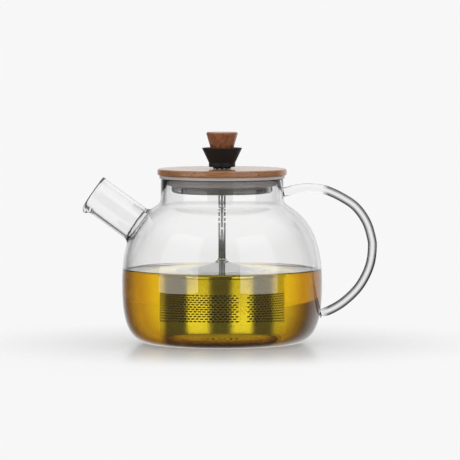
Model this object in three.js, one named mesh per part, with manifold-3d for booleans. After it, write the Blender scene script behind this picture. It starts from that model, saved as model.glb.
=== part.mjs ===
// Glass teapot with a lift-up infuser: glass pot, wooden lid, notched pull rod and a basket that twists off its cap.
// Millimetres, +Z up. The spout points to -X and the handle to +X.
import * as THREE from 'three';
import { mergeVertices } from 'three/addons/utils/BufferGeometryUtils.js';
import Module from 'manifold-3d';

const wasm = await Module();
wasm.setup();

// ---- driving dimensions ----
const bodyR = 68.1;            // largest outside radius of the glass
const bodyZ = 41;              // height of that largest radius
const wall = 2.2;              // glass wall
const neckR = 41.7;            // neck, outside
const rimZ = 112.2;            // glass rim
const shoulder = { neckZ: 101, r: 45.7, z: 93.2, slope: 0.557 };  // where the neck turns into the belly
const foot = { r: 46, pushR: 25, pushRise: 1.8 };                  // flat foot ring around a raised centre

const spout = { r: 12.5, wall: 2, tip: [-88, 103], rise: 36.2 };  // rise: degrees above level
const lip = { length: 5.5, flare: 0.4, pour: 2, drop: 4 };  // the lower side flares and falls back to pour
const spoutLength = 52;        // of the tube, before the pot's shape is cut from it
const spoutReach = 94.4;       // lip tip, from the pot's axis
const handleRodR = 3.1;
const handleLine = [
  [43.6, 103.3], [51, 105], [59, 105.8], [70.5, 104.3], [82, 99.1], [91.3, 92.5], [98.3, 82.5], [101.7, 71.7],
  [102.3, 64.9], [101, 54.7], [97.3, 45.2], [91.5, 36.4], [82.4, 27.9], [73.5, 22.6],
];
const handleReach = 105.2;
const weldPad = { r: 4.1, length: 4, z: 103.2, lean: 0.12 };         // at the neck
const weldBridge = { r: 2.2, length: 12, x: 69.6, z: 22, lean: 0.25 };  // at the belly

const discR = 44;              // wooden lid disc
const discZ = [114.6, 118.9];
const pan = { r: 37.4, stepR: 35.2, stepZ: 106.3, floorZ: 102.2, skin: 0.6, ventR: 0.75, ventPairs: 4, spread: 0.04 };
const gasket = { inR: 37.7, outR: 38.6, lipR: 39.2, flangeR: 42.6, z: [107.4, 114.3] };
const bush = { inR: 2.8, outR: 3.9, flangeR: 5.6, z: [101.3, 124.4] };

const rodR = 2.5;
const rodWall = 0.6;
const rodZ = [55.9, 127];
const notch = { z: [83.2, 86.6, 90.3], height: 1.1, web: 2.4 };
const crossHole = { r: 0.8, z: 78.6 };
const collarZ = [119.1, 133.1];
const knobZ = [125.6, 143.9];

const capR = 32.7;             // infuser cap, outside
const capEdgeZ = 48.7;
const capApexZ = 55.3;
const skirtZ = 45.6;
const basketR = 31.8;
const basketSkin = 0.5;
const basketZ = [12.8, 48.1];
const floorRingWidth = 7.8;
const slots = { rows: 4, around: 18, z: [19.8, 34.6], height: 1.8, fill: 0.62 };
const lock = { count: 3, run: 24, lugR: 0.55, lugZ: 47 };  // bayonet: run in degrees

const nutHeight = 2.6;
const stud = { r: 1.7, z: [50.3, 62] };
const plugFoot = 120;          // lower end of the knob's plug
const floorHoles = { r: 1.4, rings: [6, 12, 16], pitch: 4 / 3 };  // holes in each ring of the basket's floor

const gap = 0.3;               // between pieces that touch
const round = 40;              // facets around large turned pieces
const small = 20;              // facets around small ones
const potX = (spoutReach - handleReach) / 2;  // the pot's axis, so that the whole teapot is centred on the origin

// ---- materials ----
const finish = (color, roughness, metalness, extra = {}) =>
  new THREE.MeshStandardMaterial({ color, roughness, metalness, ...extra });
const clear = { transparent: true, opacity: 0.35 };
const glass = () => finish(0xe8eeee, 0.03, 0, clear);
const steel = () => finish(0xb9bbbd, 0.28, 1);
const beech = () => finish(0xa8743f, 0.55, 0);
const walnut = () => finish(0x9a5a35, 0.5, 0);
const blackSilicone = () => finish(0x141414, 0.6, 0);
const clearSilicone = () => finish(0xd9dbd9, 0.4, 0, { transparent: true, opacity: 0.6 });
const brass = () => finish(0xb08d4a, 0.35, 1);

// ---- helpers ----
const rad = THREE.MathUtils.degToRad;

// A closed profile of [radius, height] points, turned about the Z axis.
function turned(points, facets = small) {
  const onAxis = points[0][0] === 0 && points.at(-1)[0] === 0;
  const profile = (onAxis ? points : [...points, points[0]]).map(([r, z]) => new THREE.Vector2(r, z));
  const geometry = new THREE.LatheGeometry(profile, facets);
  geometry.rotateX(Math.PI / 2);
  return geometry;
}

// A ring with a rectangular section.
const ring = (inner, outer, low, high, facets = small) =>
  turned([[inner, low], [outer, low], [outer, high], [inner, high]], facets);

function toSolid(geometry) {
  const bare = geometry.clone();
  bare.deleteAttribute('normal');
  bare.deleteAttribute('uv');
  const merged = mergeVertices(bare, 1e-4);
  return new wasm.Manifold(new wasm.Mesh({
    numProp: 3,
    vertProperties: new Float32Array(merged.attributes.position.array),
    triVerts: new Uint32Array(merged.index.array),
  }));
}

function toGeometry(solid) {
  const mesh = solid.getMesh();
  const geometry = new THREE.BufferGeometry();
  geometry.setAttribute('position', new THREE.BufferAttribute(new Float32Array(mesh.vertProperties), 3));
  geometry.setIndex(new THREE.BufferAttribute(new Uint32Array(mesh.triVerts), 1));
  geometry.computeVertexNormals();
  return geometry;
}

function cut(geometry, cutters) {
  let solid = toSolid(geometry);
  for (const cutter of cutters) solid = solid.subtract(toSolid(cutter));
  return toGeometry(solid);
}

const join = (geometries) => toGeometry(geometries.map(toSolid).reduce((all, next) => all.add(next)));

// A cylinder along a direction, centred on a point.
function rodAt(radius, length, centre, direction, sides = 8) {
  const geometry = new THREE.CylinderGeometry(radius, radius, length, sides);
  const turn = new THREE.Quaternion().setFromUnitVectors(
    new THREE.Vector3(0, 1, 0), new THREE.Vector3(...direction).normalize());
  geometry.applyQuaternion(turn);
  geometry.translate(...centre);
  return geometry;
}

// A hex nut on the Z axis, with its underside at a height.
function hexNut(radius, bore, low) {
  const middle = low + nutHeight / 2;
  const hex = new THREE.CylinderGeometry(radius, radius, nutHeight, 6);
  hex.rotateX(Math.PI / 2);
  hex.translate(0, 0, middle);
  return cut(hex, [rodAt(bore, 2 * nutHeight, [0, 0, middle], [0, 0, 1], small)]);
}

// A block that stands on the Z axis's circle: its middle at a radius, an angle and a height.
function blockAt(size, radius, degrees, height) {
  const geometry = new THREE.BoxGeometry(...size);
  geometry.translate(radius, 0, height);
  geometry.rotateZ(rad(degrees));
  return geometry;
}

// A piece of a flat ring between two angles.
function ringSector(inner, outer, from, to, low, high) {
  const shape = new THREE.Shape();
  shape.absarc(0, 0, outer, rad(from), rad(to), false);
  shape.absarc(0, 0, inner, rad(to), rad(from), true);
  const geometry = new THREE.ExtrudeGeometry(shape, { depth: high - low, bevelEnabled: false, curveSegments: 4 });
  geometry.translate(0, 0, low);
  return geometry;
}

// The corners of a regular polygon around a point.
const polygon = (radius, sides, x = 0, y = 0) => Array.from({ length: sides }, (_, i) => {
  const angle = 2 * Math.PI * i / sides;
  return new THREE.Vector2(x + radius * Math.cos(angle), y + radius * Math.sin(angle));
});

const bezier = (a, b, c, d, steps) =>
  new THREE.CubicBezierCurve(...[a, b, c, d].map((p) => new THREE.Vector2(...p)))
    .getPoints(steps).map((p) => [p.x, p.y]);

// ---- glass ----
// The pot's outside, from the foot up to the rim.
function potOutline() {
  const { neckZ, r, z, slope } = shoulder;
  const [dr, dz] = [Math.cos(slope), -Math.sin(slope)];
  const belly = bezier([foot.r, 0], [foot.r + 18, 0], [bodyR, bodyZ - 26.5], [bodyR, bodyZ], 7);
  const upper = bezier([bodyR, bodyZ], [bodyR, bodyZ + 25.7], [r + 19.2 * dr, z + 19.2 * dz], [r, z], 6);
  const neck = bezier([r, z], [r - 3.6 * dr, z - 3.6 * dz], [neckR, neckZ - 5.2], [neckR, neckZ], 3);
  return [...belly, ...upper.slice(1), ...neck.slice(1), [neckR, rimZ - 1]];
}

// The same outline moved in by the glass thickness, from the rim down to the floor.
function potInside(outline) {
  const inside = outline.map(([r, z], i) => {
    const [r0, z0] = outline[Math.max(i - 1, 0)];
    const [r1, z1] = outline[Math.min(i + 1, outline.length - 1)];
    const length = Math.hypot(r1 - r0, z1 - z0);
    return [r - wall * (z1 - z0) / length, z + wall * (r1 - r0) / length];
  });
  return inside.reverse();
}

function glassBody() {
  const outline = potOutline();
  const rise = foot.pushRise;
  const profile = [
    [0, rise], [foot.pushR - 7, rise], [foot.pushR, 0],
    ...outline, [neckR - wall / 2, rimZ], ...potInside(outline),
    [foot.pushR, wall], [foot.pushR - 7, wall + rise], [0, wall + rise],
  ];
  const bore = rodAt(spout.r - spout.wall, spoutLength, spoutPoint(spoutLength / 2 + 4), spoutDirection, small);
  return cut(turned(profile, round), [bore]);
}

// ---- spout ----
const spoutDirection = [-Math.cos(rad(spout.rise)), 0, Math.sin(rad(spout.rise))];

// A point on the spout's axis, this far back from its mouth.
function spoutPoint(back) {
  const [x, z] = spout.tip;
  return [x - spoutDirection[0] * back, 0, z - spoutDirection[2] * back];
}

// The spout runs along +Z first, lip at the top, and is then swung to its slope.
function spoutTube() {
  const { r, wall: skin } = spout;
  const inner = r - skin;
  const tube = turned([
    [r, -spoutLength], [r, -lip.length], [r + 0.1, -2.5], [r + lip.flare, -0.6], [r + lip.flare - 0.5, 0.3],
    [inner + 0.6, 0.3], [inner + 0.3, -0.6], [inner, -3], [inner, -spoutLength],
  ], small);
  pourLip(tube);
  tube.rotateY(rad(spout.rise - 90));
  tube.translate(spout.tip[0], 0, spout.tip[1]);
  return toGeometry(toSolid(tube).subtract(potKeepOut()));
}

// Bends the mouth's lower side outward and back.
function pourLip(tube) {
  const at = tube.attributes.position;
  for (let i = 0; i < at.count; i += 1) {
    const [x, y, z] = [at.getX(i), at.getY(i), at.getZ(i)];
    const near = Math.max(0, 1 + z / lip.length);
    const r = Math.hypot(x, y);
    const low = 0.5 - 0.5 * x / r;
    const grow = 1 + lip.pour * low * low * near / r;
    at.setXYZ(i, x * grow, y * grow, z - lip.drop * low * near);
  }
}

// The pot's outer shape grown by the gap, filled in.
function potKeepOut() {
  const outline = potOutline().map(([r, z]) => [r + gap, z]);
  return toSolid(turned([[0, 0], ...outline, [0, rimZ - 1]], round));
}

// ---- handle ----
function handleRod() {
  const points = handleLine.map(([x, z]) => new THREE.Vector3(x, 0, z));
  const path = new THREE.CatmullRomCurve3(points);
  const section = new THREE.Shape();
  section.absarc(0, 0, handleRodR, 0, 2 * Math.PI);
  const rod = new THREE.ExtrudeGeometry(section, {
    steps: 26, extrudePath: path, bevelEnabled: false, curveSegments: 5,
  });
  const upperPad = rodAt(weldPad.r, weldPad.length, [neckR + 1.6, 0, weldPad.z], [1, 0, weldPad.lean], 12);
  const { r, length, x, z, lean } = weldBridge;
  const lowerBridge = rodAt(r, length, [x, 0, z], [1, 0, lean], 12);
  return toGeometry(toSolid(join([rod, upperPad, lowerBridge])).subtract(potKeepOut()));
}

// ---- lid ----
function lidDisc() {
  const [low, high] = discZ;
  const hole = bush.outR + gap;
  return turned([
    [hole, low], [discR - 0.8, low], [discR, low + 0.9], [discR, high - 1.3],
    [discR - 0.4, high - 0.4], [discR - 1.3, high], [hole, high],
  ], round);
}

function lidPan() {
  const { r, stepR, stepZ, floorZ, skin, ventR, ventPairs, spread } = pan;
  const hole = bush.outR + gap;
  const top = discZ[0] - 0.1;
  const cup = turned([
    [hole, floorZ], [stepR - 1.2, floorZ], [stepR, floorZ + 1.2], [stepR, stepZ - 0.5],
    [r - 0.8, stepZ], [r, stepZ + 0.8], [r, top],
    [r - skin, top], [r - skin, stepZ + skin + 0.5], [r - skin - 0.5, stepZ + skin],
    [stepR - skin, stepZ + 0.1], [stepR - skin, floorZ + skin + 1], [stepR - skin - 1, floorZ + skin],
    [hole, floorZ + skin],
  ], round);
  const holes = Array.from({ length: 2 * ventPairs }, (_, i) => {
    const pair = Math.floor(i / 2);
    const angle = 2 * Math.PI * (pair + 0.5) / ventPairs + (i % 2 ? spread : -spread);
    const side = [Math.cos(angle), Math.sin(angle)];
    return rodAt(ventR, 3, [side[0] * stepR, side[1] * stepR, floorZ + 2.2], [...side, 0], 6);
  });
  return cut(cup, holes);
}

function lidGasket() {
  const { inR, outR, lipR, flangeR, z: [low, high] } = gasket;
  const flange = rimZ + 0.2;
  return turned([
    [inR, low - 0.8], [lipR, low + 0.5], [outR, low + 1.7], [outR, low + 2.5], [lipR, low + 3.4],
    [outR, low + 4.2], [outR, flange], [flangeR, flange], [flangeR, high], [inR, high],
  ], round);
}

function lidBush() {
  const { inR, outR, flangeR, z: [low, high] } = bush;
  return turned([[inR, low], [flangeR, low], [flangeR, low + 0.7], [outR, low + 0.7], [outR, high], [inR, high]]);
}

const bushNut = () => hexNut(6.4, bush.outR + 0.1, pan.floorZ + pan.skin + 0.1);

function gripCollar() {
  const [low, high] = collarZ;
  const bore = bush.outR + 0.1;
  const cupFloor = bush.z[1];
  return turned([
    [bore, low], [6.15, low], [6.15, low + 0.9], [8.6, low + 1.1], [9, low + 1.5], [9, 123],
    [13.75, high - 0.5], [13.4, high], [12.7, high - 0.2], [8.2, cupFloor], [bore, cupFloor],
  ], small);
}

// ---- plunger ----
function knob() {
  const [low, high] = knobZ;
  const bore = rodR + 0.2;
  return turned([
    [0, low + 4], [bore, low + 4], [bore, low], [6, low], [6.6, low + 0.6], [7.75, 132.5], [10.85, high - 1.7],
    [10.6, high - 0.6], [9.6, high], [0, high],
  ], small);
}

// The threaded plug that fixes the knob in the rod's upper end.
function knobPlug() {
  const shank = rodR - rodWall - 0.1;
  const head = 2.1;
  const shoulderZ = rodZ[1] + 0.1;
  const top = knobZ[0] + 3.7;
  return turned([
    [0, plugFoot], [shank, plugFoot], [shank, shoulderZ], [head, shoulderZ], [head, top], [0, top],
  ], 16);
}

function pullRod() {
  const tube = ring(rodR - rodWall, rodR, rodZ[0], rodZ[1], small);
  const bite = rodR - notch.web / 2;
  const notches = notch.z.flatMap((z) => [0, 180].map((side) =>
    blockAt([bite, 2 * rodR + 1, notch.height], rodR + 0.01 - bite / 2, side, z)));
  return cut(tube, [...notches, rodAt(crossHole.r, 8, [0, 0, crossHole.z], [1, 0, 0], 10)]);
}

// The cone that clamps the rod onto the infuser cap.
const rodCollar = () => turned([
  [rodR + 0.1, capApexZ + 0.1], [4.6, capApexZ + 0.1], [4.6, capApexZ + 0.6], [2.9, 57.8], [rodR + 0.1, 57.8],
]);

function infuserCap() {
  const hole = stud.r + 0.4;
  const slope = (capApexZ - capEdgeZ) / (capR - 5);
  const bend = capR - 0.8;
  const foldZ = capApexZ - slope * (bend - 5);
  const cap = turned([
    [hole, capApexZ - basketSkin], [5, capApexZ - basketSkin], [bend - 0.4, foldZ - basketSkin],
    [capR - basketSkin, capEdgeZ - 1], [capR - basketSkin, skirtZ], [capR, skirtZ],
    [capR, capEdgeZ - 0.8], [bend, foldZ], [5, capApexZ], [hole, capApexZ],
  ], round);
  const step = 360 / lock.count;
  const wide = 2.6;
  const [inner, outer] = [capR - 1.4, capR + 1];
  const half = lock.lugR + gap;
  const cutters = [];
  for (let i = 0; i < lock.count; i += 1) {
    const at = i * step;
    cutters.push(ringSector(inner, outer, at - wide / 2, at + lock.run + wide, lock.lugZ - half, lock.lugZ + half));
    cutters.push(ringSector(inner, outer, at + lock.run - wide / 2, at + lock.run + wide, skirtZ - 1, lock.lugZ));
  }
  return cut(cap, cutters);
}

// The stud in the rod's lower end, with its nut under the cap.
function rodStud() {
  const [low, high] = stud.z;
  return turned([[0, low], [stud.r, low], [stud.r, high], [0, high]], 16);
}

const capNut = () => hexNut(4.2, stud.r + 0.1, capApexZ - basketSkin - 0.1 - nutHeight);

// ---- basket ----
function basketWall() {
  const { rows, around, z: [low, high], height, fill } = slots;
  const [bottom, top] = basketZ;
  const tube = ring(basketR - basketSkin, basketR, bottom + 0.6, top - 0.2, round);
  const cutters = [];
  const pitch = 360 / around;
  for (let row = 0; row < rows; row += 1) {
    const z = low + row * (high - low) / (rows - 1);
    for (let i = 0; i < around; i += 1) {
      const angle = (i + (row % 2) / 2) * pitch;
      const width = 2 * basketR * Math.tan(rad(pitch * fill / 2));
      cutters.push(blockAt([3, width, height], basketR, angle, z));
    }
  }
  const lugs = Array.from({ length: lock.count }, (_, i) => {
    const angle = rad(i * 360 / lock.count);
    const out = [Math.cos(angle), Math.sin(angle)];
    const reach = basketR + 0.1;
    return rodAt(lock.lugR, 1, [out[0] * reach, out[1] * reach, lock.lugZ], [...out, 0], 8);
  });
  let solid = toSolid(tube);
  for (const cutter of cutters) solid = solid.subtract(toSolid(cutter));
  for (const lug of lugs) solid = solid.add(toSolid(lug));
  return toGeometry(solid);
}

// The rolled bead inside the basket's mouth.
function basketRim() {
  const high = basketZ[1];
  const outer = basketR - basketSkin - 0.1;
  return turned([
    [outer - 1.4, high - 1], [outer - 1, high - 1.3], [outer, high - 1.3], [outer, high - 0.2],
    [outer - 0.3, high], [outer - 1, high], [outer - 1.4, high - 0.4],
  ], round);
}

function basketFloor() {
  const plate = new THREE.Shape(polygon(basketR - basketSkin - 0.4, round));
  for (const count of floorHoles.rings) {
    for (let i = 0; i < count; i += 1) {
      const angle = 2 * Math.PI * i / count;
      const radius = count * floorHoles.pitch;
      const [x, y] = [radius * Math.cos(angle), radius * Math.sin(angle)];
      plate.holes.push(new THREE.Path(polygon(floorHoles.r, 6, x, y)));
    }
  }
  const geometry = new THREE.ExtrudeGeometry(plate, { depth: 0.5, bevelEnabled: false });
  geometry.translate(0, 0, basketZ[0] + 0.6);
  return geometry;
}

// The ring that seams the floor to the wall.
function floorRing() {
  const low = basketZ[0];
  const inner = basketR - floorRingWidth;
  return turned([
    [inner, low], [basketR - 0.6, low], [basketR, low + 0.5], [basketR - basketSkin - 0.2, low + 0.5],
    [inner, low + 0.5],
  ], round);
}

// ---- assembly ----
const teapot = new THREE.Group();
const pieces = [
  ['glass_body', glassBody, glass], ['spout', spoutTube, glass], ['handle', handleRod, glass],
  ['lid_disc', lidDisc, beech], ['lid_pan', lidPan, steel], ['lid_gasket', lidGasket, clearSilicone],
  ['lid_bush', lidBush, steel], ['bush_nut', bushNut, steel], ['grip_collar', gripCollar, blackSilicone],
  ['knob', knob, walnut], ['knob_plug', knobPlug, brass], ['pull_rod', pullRod, steel],
  ['rod_collar', rodCollar, steel], ['infuser_cap', infuserCap, steel], ['rod_stud', rodStud, steel],
  ['cap_nut', capNut, steel],
  ['basket_wall', basketWall, steel], ['basket_rim', basketRim, steel], ['basket_floor', basketFloor, steel],
  ['floor_ring', floorRing, steel],
];
for (const [name, shape, material] of pieces) {
  const mesh = new THREE.Mesh(shape(), material());
  mesh.name = name;
  teapot.add(mesh);
}
teapot.position.x = potX;

export default teapot;
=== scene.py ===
"""The looks of a glass teapot with a lift-up infuser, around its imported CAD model."""

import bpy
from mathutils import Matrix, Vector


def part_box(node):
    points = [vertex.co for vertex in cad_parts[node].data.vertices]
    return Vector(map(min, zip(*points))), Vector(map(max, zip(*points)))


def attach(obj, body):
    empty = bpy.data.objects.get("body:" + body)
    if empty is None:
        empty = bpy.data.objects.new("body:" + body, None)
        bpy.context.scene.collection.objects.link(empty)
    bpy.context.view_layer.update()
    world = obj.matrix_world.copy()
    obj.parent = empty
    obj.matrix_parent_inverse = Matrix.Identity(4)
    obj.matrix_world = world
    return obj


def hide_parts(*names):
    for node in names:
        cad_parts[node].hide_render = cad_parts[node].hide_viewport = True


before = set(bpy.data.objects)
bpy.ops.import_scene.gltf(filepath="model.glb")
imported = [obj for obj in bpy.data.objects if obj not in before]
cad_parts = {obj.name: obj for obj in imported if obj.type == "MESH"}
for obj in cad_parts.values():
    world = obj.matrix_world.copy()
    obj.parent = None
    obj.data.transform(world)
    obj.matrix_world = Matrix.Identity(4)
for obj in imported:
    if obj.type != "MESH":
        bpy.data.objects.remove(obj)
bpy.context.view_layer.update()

import math

import bmesh
import bpy
from mathutils import Matrix, Vector, noise as mathutils_noise

MM = 0.001


# ---- the frame's own places, in millimetres from the pot's axis ----
def span(node):
    """Lowest and highest corner of a CAD node, in millimetres."""
    low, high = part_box(node)
    return low / MM, high / MM


POT_LOW, POT_HIGH = span("glass_body")
AXIS_X = (POT_LOW.x + POT_HIGH.x) / 2
BODY_R = (POT_HIGH.x - POT_LOW.x) / 2
RIM_Z = POT_HIGH.z
DISC_LOW, DISC_HIGH = span("lid_disc")
CAP_LOW, CAP_HIGH = span("infuser_cap")
ROD_LOW, ROD_HIGH = span("pull_rod")
KNOB_LOW, KNOB_HIGH = span("knob")
COLLAR_LOW, COLLAR_HIGH = span("grip_collar")
BASKET_LOW, BASKET_HIGH = span("basket_wall")
PAN_LOW, PAN_HIGH = span("lid_pan")

WALL = 2.2              # glass thickness
NECK_R = 41.7
NECK_Z = 101.0          # where the neck becomes straight
BODY_Z = 41.0           # height of the widest part
FOOT_R = 46.0
PUSH_R = 25.0           # raised centre of the foot
PUSH_RISE = 1.8
SHOULDER = (45.7, 93.2)  # where the shoulder turns into the neck
SHOULDER_SLOPE = 0.557  # how steeply it falls there, in radians below level
TEA_Z = 50.1            # height of the tea's surface
TURN = 192              # steps around a large turned piece
SMALL_TURN = 96         # steps around a small one


# ---- mesh helpers ----
def bezier(a, b, c, d, steps):
    """A curve from a to d, pulled towards b and c."""
    points = []
    for i in range(steps + 1):
        t = i / steps
        w = ((1 - t) ** 3, 3 * t * (1 - t) ** 2, 3 * t * t * (1 - t), t ** 3)
        points.append(tuple(sum(k * p[n] for k, p in zip(w, (a, b, c, d))) for n in range(2)))
    return points


def rounded(corners, steps=5):
    """A closed outline with its corners rounded. A corner is (r, z) or (r, z, radius)."""
    outline = []
    count = len(corners)
    for i, corner in enumerate(corners):
        here = Vector(corner[:2])
        radius = corner[2] if len(corner) > 2 else 0
        if not radius:
            outline.append(tuple(here))
            continue
        before = Vector(corners[i - 1][:2]) - here
        after = Vector(corners[(i + 1) % count][:2]) - here
        half = before.angle(after) / 2
        reach = min(radius / math.tan(half), before.length * 0.49, after.length * 0.49)
        start, end = here + before.normalized() * reach, here + after.normalized() * reach
        for k in range(steps + 1):
            t = k / steps
            outline.append(tuple(start * (1 - t) ** 2 + here * 2 * t * (1 - t) + end * t * t))
    return outline


def new_piece(name, bm):
    """A mesh object from a bmesh in millimetres around the pot's axis."""
    bmesh.ops.recalc_face_normals(bm, faces=bm.faces)
    place = Matrix.Translation((AXIS_X * MM, 0, 0)) @ Matrix.Scale(MM, 4)
    bmesh.ops.transform(bm, matrix=place, verts=bm.verts)
    mesh = bpy.data.meshes.new(name)
    bm.to_mesh(mesh)
    bm.free()
    piece = bpy.data.objects.new(name, mesh)
    bpy.context.scene.collection.objects.link(piece)
    smooth(piece)
    return piece


def smooth(piece, sharp=30):
    """Smooth shading, but for edges sharper than an angle in degrees."""
    mesh = piece.data
    mesh.shade_smooth()
    mesh.set_sharp_from_angle(angle=math.radians(sharp))


def revolve(outline, steps=TURN):
    """A bmesh turned about the Z axis. An outline that starts and ends on the axis is capped there."""
    bm = bmesh.new()
    capped = outline[0][0] == 0 and outline[-1][0] == 0
    inner = outline[1:-1] if capped else outline
    rings = []
    for r, z in inner:
        ring = []
        for i in range(steps):
            angle = 2 * math.pi * i / steps
            ring.append(bm.verts.new((r * math.cos(angle), r * math.sin(angle), z)))
        rings.append(ring)
    pairs = list(zip(rings, rings[1:])) if capped else list(zip(rings, rings[1:] + rings[:1]))
    for low, high in pairs:
        for i in range(steps):
            j = (i + 1) % steps
            bm.faces.new((low[i], low[j], high[j], high[i]))
    if capped:
        for ring, end in ((rings[0], outline[0]), (rings[-1], outline[-1])):
            tip = bm.verts.new((0, 0, end[1]))
            for i in range(steps):
                bm.faces.new((ring[i], ring[(i + 1) % steps], tip))
    return bm


def turned(name, outline, steps=TURN):
    return new_piece(name, revolve(outline, steps))


def boolean(piece, cutters, operation="DIFFERENCE", sharp=30):
    """Cuts, joins or trims a piece with others, which are then removed."""
    for cutter in cutters:
        step = piece.modifiers.new("boolean", "BOOLEAN")
        step.operation = operation
        step.solver = "MANIFOLD"
        step.object = cutter
    bpy.context.view_layer.update()
    graph = bpy.context.evaluated_depsgraph_get()
    result = bpy.data.meshes.new_from_object(piece.evaluated_get(graph))
    piece.modifiers.clear()
    old = piece.data
    piece.data = result
    bpy.data.meshes.remove(old)
    for cutter in cutters:
        mesh = cutter.data
        bpy.data.objects.remove(cutter)
        bpy.data.meshes.remove(mesh)
    smooth(piece, sharp)
    return piece


def merged(bms):
    """One bmesh out of several."""
    whole = bmesh.new()
    for bm in bms:
        mesh = bpy.data.meshes.new("part")
        bm.to_mesh(mesh)
        bm.free()
        whole.from_mesh(mesh)
        bpy.data.meshes.remove(mesh)
    return whole


def rod_bmesh(radius, length, centre, direction, sides=24):
    """A round rod through a point."""
    bm = revolve([(0, -length / 2), (radius, -length / 2), (radius, length / 2), (0, length / 2)], sides)
    turn = Vector((0, 0, 1)).rotation_difference(Vector(direction)).to_matrix().to_4x4()
    bmesh.ops.transform(bm, matrix=Matrix.Translation(centre) @ turn, verts=bm.verts)
    return bm


def block_bmesh(size, centre, turn=0):
    """A block, placed and then turned about the Z axis."""
    bm = bmesh.new()
    bmesh.ops.create_cube(bm, size=1)
    place = Matrix.Rotation(math.radians(turn), 4, "Z") @ Matrix.Translation(centre)
    bmesh.ops.transform(bm, matrix=place @ Matrix.Diagonal((*size, 1)), verts=bm.verts)
    return bm


# ---- material helpers ----
def material(name, **values):
    """A node material. Keyword names are Principled sockets, with underscores for spaces."""
    mat = bpy.data.materials.new(name)
    mat.use_nodes = True
    shader = mat.node_tree.nodes["Principled BSDF"]
    for key, value in values.items():
        socket = shader.inputs[key.replace("_", " ")]
        socket.default_value = (*value, 1) if isinstance(value, tuple) else value
    return mat, mat.node_tree, shader


def add(tree, kind, **settings):
    """A new node. Keyword names are its sockets or its own settings."""
    node = tree.nodes.new(kind)
    for key, value in settings.items():
        if key in node.inputs:
            node.inputs[key].default_value = value
        else:
            setattr(node, key, value)
    return node


def noise(tree, scale, stretch=(1, 1, 1), detail=4, roughness=0.5):
    """A noise texture in metres of object space, squeezed along some axes."""
    place = add(tree, "ShaderNodeTexCoord")
    mapping = add(tree, "ShaderNodeMapping")
    mapping.inputs["Scale"].default_value = stretch
    texture = add(tree, "ShaderNodeTexNoise", Scale=scale, Detail=detail, Roughness=roughness)
    tree.links.new(place.outputs["Object"], mapping.inputs["Vector"])
    tree.links.new(mapping.outputs["Vector"], texture.inputs["Vector"])
    return texture.outputs["Fac"]


def ramp(tree, source, stops):
    """A colour ramp. A stop is (position, colour)."""
    node = add(tree, "ShaderNodeValToRGB")
    elements = node.color_ramp.elements
    while len(elements) < len(stops):
        elements.new(0.5)
    for element, (position, colour) in zip(elements, stops):
        element.position = position
        element.color = (*colour, 1)
    tree.links.new(source, node.inputs["Fac"])
    return node.outputs["Color"]


def value_range(tree, source, low, high):
    """A value from 0 to 1, spread over another range."""
    node = add(tree, "ShaderNodeMapRange")
    node.inputs["To Min"].default_value = low
    node.inputs["To Max"].default_value = high
    tree.links.new(source, node.inputs["Value"])
    return node.outputs["Result"]


def bump(tree, shader, source, strength, distance):
    node = add(tree, "ShaderNodeBump", Strength=strength, Distance=distance)
    tree.links.new(source, node.inputs["Height"])
    tree.links.new(node.outputs["Normal"], shader.inputs["Normal"])


def smooth_fade(tree, source, between, start, end):
    """Fades from start to end while the source goes between two values. Start can be a socket."""
    node = add(tree, "ShaderNodeMapRange", interpolation_type="SMOOTHSTEP")
    node.inputs["From Min"].default_value, node.inputs["From Max"].default_value = between
    node.inputs["To Max"].default_value = end
    if isinstance(start, (int, float)):
        node.inputs["To Min"].default_value = start
    else:
        tree.links.new(start, node.inputs["To Min"])
    tree.links.new(source, node.inputs["Value"])
    return node.outputs["Result"]


# ---- materials ----
def glass_material():
    """Clear glass whose colour is darkened towards its edges by a painted shade, as real edges darken in a
    studio with dark sides.
    """
    mat, tree, shader = material("glass", Roughness=0.0, IOR=1.47, Transmission_Weight=1.0)
    slant = add(tree, "ShaderNodeLayerWeight", Blend=0.5)
    # The painted shade: greys that darken the glass's colour the more slantwise it is seen, one set for the
    # thin shell and one for the solid rod.
    thin = [(0.42, 0.985), (0.6, 0.9), (0.72, 0.76), (0.82, 0.52), (0.91, 0.2), (1.0, 0.03)]
    solid = [(0.015, 0.92), (0.06, 0.52), (0.15, 0.2), (0.3, 0.06), (0.6, 0.015), (1.0, 0.01)]
    edges = []
    for painted_shade_greys in (thin, solid):
        edges.append(ramp(tree, slant.outputs["Facing"], [(at, (grey, grey, grey)) for at, grey in painted_shade_greys]))
    # Past the pot's side there is only the handle, which is solid, so it takes the solid rod's painted edge
    # shade.
    place = add(tree, "ShaderNodeSeparateXYZ")
    tree.links.new(add(tree, "ShaderNodeTexCoord").outputs["Object"], place.inputs[0])
    handle = add(tree, "ShaderNodeMapRange")
    handle.inputs["From Min"].default_value = (AXIS_X + BODY_R) * MM
    handle.inputs["From Max"].default_value = (AXIS_X + BODY_R + 4) * MM
    tree.links.new(place.outputs["X"], handle.inputs["Value"])
    blend = add(tree, "ShaderNodeMix", data_type="RGBA")
    tree.links.new(handle.outputs["Result"], blend.inputs["Factor"])
    for edge, socket in zip(edges, (blend.inputs["A"], blend.inputs["B"])):
        tree.links.new(edge, socket)
    tree.links.new(blend.outputs["Result"], shader.inputs["Base Color"])
    waves = noise(tree, 28, stretch=(1, 1, 0.35), detail=1)
    bump(tree, shader, waves, 0.04, 0.0015)
    return mat


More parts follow.
